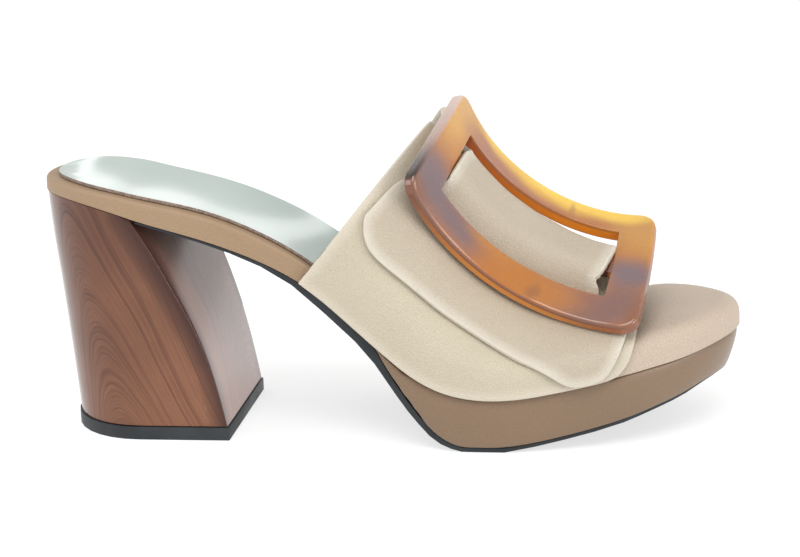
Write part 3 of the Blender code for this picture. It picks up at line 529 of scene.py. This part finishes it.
def narrow_corner(piece):
    """Keep the front edge inside the window down to the near bar: the fan starts under it."""
    local = [lay.inverted() @ v.co for v in piece.data.vertices]
    sheet = BVHTree.FromPolygons(local, [face.vertices[:] for face in piece.data.polygons])

    def height(x, y):
        hit = sheet.ray_cast(Vector((x, y, 0.010)), Vector((0.0, 0.0, -1.0)))[0]
        return hit.z if hit else None

    def smooth(share):
        share = min(1.0, max(0.0, share))
        return share * share * (3.0 - 2.0 * share)

    start, room = 0.0220, 0.0105
    for i, p in enumerate(local):
        if p.x < start or not -0.0235 < p.y < -0.0065 or p.z < -0.0160:
            continue
        share = smooth((-0.0068 - p.y) / 0.0026) * smooth((p.y + 0.0230) / 0.0095)
        held = start + room * math.tanh((p.x - start) / room)
        moved = p.x + (held - p.x) * share
        before, after = height(p.x - 0.0005, p.y), height(moved - 0.0005, p.y)
        if before and after:
            piece.data.vertices[i].co = lay @ Vector((moved, p.y, p.z + after - before))


strap = solid_copy("strap", "overlay_strap")
refine(strap, 2)
fit_window(strap)
curl = Vector((0.0905, 0.0170, 0.0965))
for vertex in strap.data.vertices:
    gap = (vertex.co - curl).length / 0.011
    if gap < 1.0:
        vertex.co += Vector((-0.0008, 0.0, 0.0026)) * (1.0 - gap * gap) ** 2
mark_rim(strap, 40.0, 0.00018, 0.0006)
# Its rim colour is a painted highlight along the turned edges.
strap.data.materials.append(leather("strap leather", (0.472, 0.407, 0.314), (0.448, 0.383, 0.293),
                                    grain=0.00085, relief=0.00022, rim_highlight=(0.60, 0.55, 0.46)))
strap.data.materials.append(leather("strap back", (0.560, 0.480, 0.390), (0.500, 0.420, 0.330)))
for face in strap.data.polygons:
    face.material_index = 1 if outward(face) < -0.45 else 0
round_edges(strap, 0.0005, 3)
narrow_corner(strap)
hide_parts("strap")
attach(strap, "root")


# Buckle. A frame of cast tortoiseshell resin, sawn from sheet, bent to the foot and polished, with
# a hidden bar that the strap passes over. Amber with a yellow far edge and smoky patches.
def tortoiseshell():
    """Colours laid out over the flat sheet: u along, v across, w down through its thickness."""
    made, tree, shader = new_material("tortoiseshell resin")
    sheet = add_node(tree, "ShaderNodeAttribute", {"attribute_name": "sheet"}).outputs["Vector"]
    waver = add_node(tree, "ShaderNodeTexNoise", Vector=sheet, Scale=2.2, Detail=2.0).outputs["Color"]
    bent = add_node(tree, "ShaderNodeMix", {"data_type": "RGBA", "blend_type": "LINEAR_LIGHT"},
                    s0=0.10, s6=sheet, s7=waver).outputs[2]

    def patch(base, place, size, tone, soft=1.0):
        """Lay a soft round patch over the colour so far."""
        gap = add_node(tree, "ShaderNodeVectorMath", {"operation": "SUBTRACT"},
                       s0=bent, s1=(*place, 0.0)).outputs[0]
        scaled = add_node(tree, "ShaderNodeVectorMath", {"operation": "MULTIPLY"}, s0=gap,
                          s1=(1.0 / size[0], 1.0 / size[1], 0.0)).outputs[0]
        reach = add_node(tree, "ShaderNodeVectorMath", {"operation": "LENGTH"}, s0=scaled).outputs["Value"]
        share = add_node(tree, "ShaderNodeMapRange", {"interpolation_type": "SMOOTHSTEP"},
                         s0=reach, s1=0.2, s2=1.25, s3=soft, s4=0.0).outputs[0]
        return add_node(tree, "ShaderNodeMix", {"data_type": "RGBA"}, s0=share, s6=base,
                        s7=(*tone, 1.0)).outputs[2]

    amber, honey, gold = (0.380, 0.128, 0.024), (0.590, 0.300, 0.045), (0.470, 0.220, 0.035)
    yellow, mauve, smoke = (0.780, 0.500, 0.045), (0.330, 0.135, 0.075), (0.150, 0.105, 0.118)
    brown, dusk = (0.210, 0.075, 0.030), (0.175, 0.088, 0.075)
    colour = add_node(tree, "ShaderNodeRGB").outputs[0]
    colour.default_value = (*amber, 1.0)
    for place, size, tone, soft in (
            ((-0.95, 0.60), (0.32, 0.85), honey, 1.0), ((0.95, 0.60), (0.40, 0.62), gold, 1.0),
            ((-0.45, 0.60), (0.42, 0.30), mauve, 0.9), ((-0.05, 0.58), (0.40, 0.22), mauve, 0.7),
            ((0.20, 0.97), (0.75, 0.30), yellow, 1.0), ((0.70, 0.97), (0.40, 0.24), yellow, 0.9),
            ((-0.45, 1.0), (0.35, 0.22), yellow, 0.75), ((0.31, 0.78), (0.030, 0.16), brown, 0.40),
            ((-0.84, -0.66), (0.36, 0.52), smoke, 0.95), ((-0.48, -0.74), (0.30, 0.28), smoke, 0.85),
            ((-0.97, -1.0), (0.20, 0.26), brown, 0.8), ((-0.15, -0.60), (0.30, 0.16), gold, 0.35),
            ((0.88, -0.22), (0.26, 0.34), smoke, 0.95), ((0.60, -0.82), (0.38, 0.30), dusk, 1.0),
            ((0.86, -0.66), (0.26, 0.34), dusk, 0.9), ((0.36, -0.78), (0.24, 0.26), mauve, 0.6),
            # The next patch, bright saturated amber low on the near bar, is a painted highlight.
            ((0.18, -0.80), (0.50, 0.30), (0.400, 0.140, 0.008), 0.8),
            ((0.22, -0.86), (0.045, 0.16), brown, 0.5), ((1.0, -0.95), (0.12, 0.45), brown, 0.8)):
        colour = patch(colour, place, size, tone, soft)
    u, v, w = add_node(tree, "ShaderNodeSeparateXYZ", Vector=sheet).outputs
    wall = add_node(tree, "ShaderNodeMapRange", {"interpolation_type": "SMOOTHSTEP"},
                    s0=w, s1=0.10, s2=0.40, s3=0.0, s4=1.0).outputs[0]
    side_tint = add_node(tree, "ShaderNodeRGB").outputs[0]
    side_tint.default_value = (0.80, 0.58, 0.42, 1.0)
    deep = add_node(tree, "ShaderNodeMix", {"data_type": "RGBA", "blend_type": "MULTIPLY"}, s0=wall,
                    s6=colour, s7=side_tint).outputs[2]
    # The left outer wall runs from dark brown at its near end to pale mauve further on: its own brown, then a
    # painted reflection of the bright left.
    left_wall = add_node(tree, "ShaderNodeMapRange", s0=u, s1=-0.99, s2=-0.97, s3=1.0, s4=0.0).outputs[0]
    left_tone_and_reflection = ramp(tree, add_node(tree, "ShaderNodeMapRange", s0=v, s1=-1.0, s2=1.0, s3=0.0, s4=1.0).outputs[0],
                     (0.10, (0.030, 0.013, 0.007)), (0.22, (0.110, 0.075, 0.065)), (0.45, (0.400, 0.270, 0.225)),
                     (0.90, (0.560, 0.430, 0.370)))
    deep = add_node(tree, "ShaderNodeMix", {"data_type": "RGBA"}, s0=left_wall, s6=deep, s7=left_tone_and_reflection).outputs[2]
    near_wall = add_node(tree, "ShaderNodeMapRange", s0=v, s1=-0.985, s2=-0.955, s3=1.0, s4=0.0).outputs[0]
    low = add_node(tree, "ShaderNodeMapRange", s0=w, s1=0.28, s2=0.42, s3=0.0, s4=0.9).outputs[0]
    low = add_node(tree, "ShaderNodeMath", {"operation": "MULTIPLY"}, s0=low, s1=near_wall).outputs[0]
    orange = patch(deep, (0.05, -1.0), (0.75, 0.40), (0.620, 0.220, 0.020))
    deep = add_node(tree, "ShaderNodeMix", {"data_type": "RGBA"}, s0=low, s6=deep, s7=orange).outputs[2]
    line = ramp(tree, w, (0.03, (0.0, 0.0, 0.0)), (0.12, (0.85, 0.85, 0.85)),
                (0.25, (0.85, 0.85, 0.85)), (0.36, (0.0, 0.0, 0.0)))
    line = add_node(tree, "ShaderNodeMath", {"operation": "MULTIPLY"}, s0=line, s1=near_wall).outputs[0]
    deep = add_node(tree, "ShaderNodeMix", {"data_type": "RGBA"}, s0=line, s6=deep,
                    s7=(0.150, 0.048, 0.018, 1.0)).outputs[2]
    far_u = add_node(tree, "ShaderNodeMath", {"operation": "ABSOLUTE"}, s0=u).outputs[0]
    far_u = add_node(tree, "ShaderNodeMath", {"operation": "MULTIPLY"}, s0=far_u, s1=1.0 / 0.7227).outputs[0]
    far_v = add_node(tree, "ShaderNodeMath", {"operation": "ABSOLUTE"}, s0=v).outputs[0]
    far_v = add_node(tree, "ShaderNodeMath", {"operation": "MULTIPLY"}, s0=far_v, s1=1.0 / 0.5725).outputs[0]
    reach = add_node(tree, "ShaderNodeMath", {"operation": "MAXIMUM"}, s0=far_u, s1=far_v).outputs[0]
    window = add_node(tree, "ShaderNodeMapRange", s0=reach, s1=1.02, s2=1.06, s3=1.0, s4=0.0).outputs[0]
    window = add_node(tree, "ShaderNodeMath", {"operation": "MULTIPLY"}, s0=window, s1=wall).outputs[0]
    # Painted light: the window's inner walls are brightened to orange, as if lit through the resin.
    painted_glow = ramp(tree, add_node(tree, "ShaderNodeMapRange", s0=u, s1=-0.7, s2=0.3, s3=0.0, s4=1.0).outputs[0],
                (0.0, (0.400, 0.085, 0.016)), (1.0, (0.800, 0.250, 0.006)))
    lit = add_node(tree, "ShaderNodeMix", {"data_type": "RGBA"}, s0=window, s6=deep, s7=painted_glow).outputs[2]
    # The hidden bar is painted near-black red: its own dark red resin with painted shade from the strap over it.
    middle = add_node(tree, "ShaderNodeMapRange", s0=reach, s1=0.96, s2=0.99, s3=1.0, s4=0.0).outputs[0]
    hidden = add_node(tree, "ShaderNodeMix", {"data_type": "RGBA"}, s0=middle, s6=lit,
                      s7=(0.110, 0.026, 0.014, 1.0)).outputs[2]
    tree.links.new(hidden, shader.inputs["Base Color"])
    cloud = add_node(tree, "ShaderNodeTexNoise", Vector=sheet, Scale=9.0, Detail=3.0).outputs["Fac"]
    rough = add_node(tree, "ShaderNodeMapRange", s0=cloud, s1=0.3, s2=0.7, s3=0.20, s4=0.30)
    tree.links.new(rough.outputs[0], shader.inputs["Roughness"])
    shader.inputs["Coat Weight"].default_value = 1.0
    shader.inputs["Coat Roughness"].default_value = 0.06
    shader.inputs["Specular IOR Level"].default_value = 0.30
    shader.inputs["Subsurface Weight"].default_value = 0.30
    shader.inputs["Subsurface Radius"].default_value = (0.0030, 0.0014, 0.0005)
    return made


HALF_X, HALF_Y, THICK = 0.04039, 0.0262, 0.0040


def pick(piece, mode, test):
    """Select the faces or edges for which the test holds, and go back to edit mode."""
    bpy.ops.mesh.select_mode(type=mode)
    bpy.ops.mesh.select_all(action="DESELECT")
    bpy.ops.object.mode_set(mode="OBJECT")
    points = piece.data.vertices
    for part in (piece.data.polygons if mode == "FACE" else piece.data.edges):
        part.select = test([points[i].co for i in part.vertices])
    bpy.ops.object.mode_set(mode="EDIT")


bpy.ops.object.select_all(action="DESELECT")
loops = []
for half_x, half_y, corner_radius in ((HALF_X, HALF_Y, 0.0048), (HALF_X - 0.0112, HALF_Y - 0.0112, 0.0006)):
    bpy.ops.mesh.primitive_plane_add(size=2.0)
    loop = bpy.context.object
    bpy.ops.object.mode_set(mode="EDIT")
    bpy.ops.transform.resize(value=(half_x, half_y, 1.0))
    bpy.ops.mesh.bevel(offset=corner_radius, offset_type="OFFSET", segments=8, affect="VERTICES")
    bpy.ops.mesh.delete(type="ONLY_FACE")
    bpy.ops.object.mode_set(mode="OBJECT")
    loops.append(loop)
for loop in loops:
    loop.select_set(True)
bpy.context.view_layer.objects.active = loops[0]
bpy.ops.object.join()
buckle = bpy.context.object
buckle.name = buckle.data.name = "resin_buckle"
bpy.ops.object.mode_set(mode="EDIT")
bpy.ops.mesh.select_mode(type="EDGE")
bpy.ops.mesh.select_all(action="SELECT")
bpy.ops.mesh.bridge_edge_loops()
bpy.ops.mesh.select_all(action="SELECT")
bpy.ops.mesh.extrude_region_move(TRANSFORM_OT_translate={"value": (0.0, 0.0, -THICK)})
bpy.ops.mesh.select_all(action="SELECT")
bpy.ops.mesh.normals_make_consistent(inside=False)


def outer(co):
    return abs(co.x) > HALF_X - 0.0060 and abs(co.y) > HALF_Y - 0.0060 or \
        abs(co.x) > HALF_X - 0.0001 or abs(co.y) > HALF_Y - 0.0001


pick(buckle, "EDGE", lambda ends: all(outer(c) and c.z > -0.0001 for c in ends))
bpy.ops.mesh.bevel(offset=0.0014, segments=5, affect="EDGES", clamp_overlap=False)
pick(buckle, "EDGE", lambda ends: all(outer(c) and c.z < -THICK + 0.0001 for c in ends))
bpy.ops.mesh.bevel(offset=0.0007, segments=4, affect="EDGES", clamp_overlap=False)
pick(buckle, "EDGE", lambda ends: all(
    abs(c.x) < HALF_X - 0.0110 and abs(c.y) < HALF_Y - 0.0110 for c in ends)
    and abs(ends[0].z - ends[1].z) < 0.0001)
bpy.ops.mesh.bevel(offset=0.00045, segments=3, affect="EDGES", clamp_overlap=False)
for height in (-0.0006, -0.0032):
    bpy.ops.mesh.select_all(action="SELECT")
    bpy.ops.mesh.bisect(plane_co=(0.0, 0.0, height), plane_no=(0.0, 0.0, 1.0))
for step in range(-12, 13):
    bpy.ops.mesh.select_all(action="SELECT")
    bpy.ops.mesh.bisect(plane_co=(0.0, step * 0.00225, 0.0), plane_no=(0.0, 1.0, 0.0))
pick(buckle, "FACE", lambda ends: all(
    abs(c.x) < HALF_X - 0.0111 and abs(c.y) < 0.00451 and -0.00321 < c.z < -0.00059 for c in ends))
bpy.ops.mesh.bridge_edge_loops()
for step in range(-20, 21):
    bpy.ops.mesh.select_all(action="SELECT")
    bpy.ops.mesh.bisect(plane_co=(step * 0.0019 + 0.0001, 0.0, 0.0), plane_no=(1.0, 0.0, 0.0))
bpy.ops.mesh.select_all(action="SELECT")
bpy.ops.mesh.normals_make_consistent(inside=False)
bpy.ops.object.mode_set(mode="OBJECT")

sheet = buckle.data.attributes.new("sheet", "FLOAT_VECTOR", "POINT")
for value, vertex in zip(sheet.data, buckle.data.vertices):
    value.vector = (vertex.co.x / HALF_X, vertex.co.y / HALF_Y, -vertex.co.z / THICK)


def bend(flat):
    """Where a point of the flat sheet goes on the saddle that the frame is bent to, with the
    directions along, across and out of the sheet there."""
    def surface(along, across):
        half = (0.0816 + (0.0730 - 0.0816) * (across + 1.0) / 2.0) / 2.0
        radius = (half * half + 0.0150 ** 2) / (2.0 * 0.0150)
        turned = along * math.asin(half / radius)
        return Vector((radius * math.sin(turned) - 0.0060 * across / 2.0, across * HALF_Y,
                       radius * (1.0 - math.cos(turned)) - 0.0150 + 0.0026 * (1.0 - across * across)))
    along, across = flat.x / HALF_X, flat.y / HALF_Y
    tangent = (surface(along + 0.01, across) - surface(along - 0.01, across)).normalized()
    cross = (surface(along, across + 0.01) - surface(along, across - 0.01)).normalized()
    out = tangent.cross(cross).normalized()
    turn = lay.to_3x3()
    return lay @ (surface(along, across) + out * flat.z), (turn @ tangent, turn @ cross, turn @ out)


bpy.ops.object.shade_smooth_by_angle(angle=math.radians(35))
weights = buckle.modifiers.new("flat faces", "WEIGHTED_NORMAL")
weights.keep_sharp = True
bpy.ops.object.modifier_apply(modifier="flat faces")
flat_normals = [corner.vector.copy() for corner in buckle.data.corner_normals]
bent = [bend(vertex.co) for vertex in buckle.data.vertices]
for vertex, (place, _) in zip(buckle.data.vertices, bent):
    vertex.co = place
turned = []
for corner, normal in zip(buckle.data.loops, flat_normals):
    along, cross, out = bent[corner.vertex_index][1]
    turned.append((along * normal.x + cross * normal.y + out * normal.z).normalized())
buckle.data.normals_split_custom_set(turned)
buckle.data.materials.append(tortoiseshell())
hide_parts("buckle")
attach(buckle, "root")
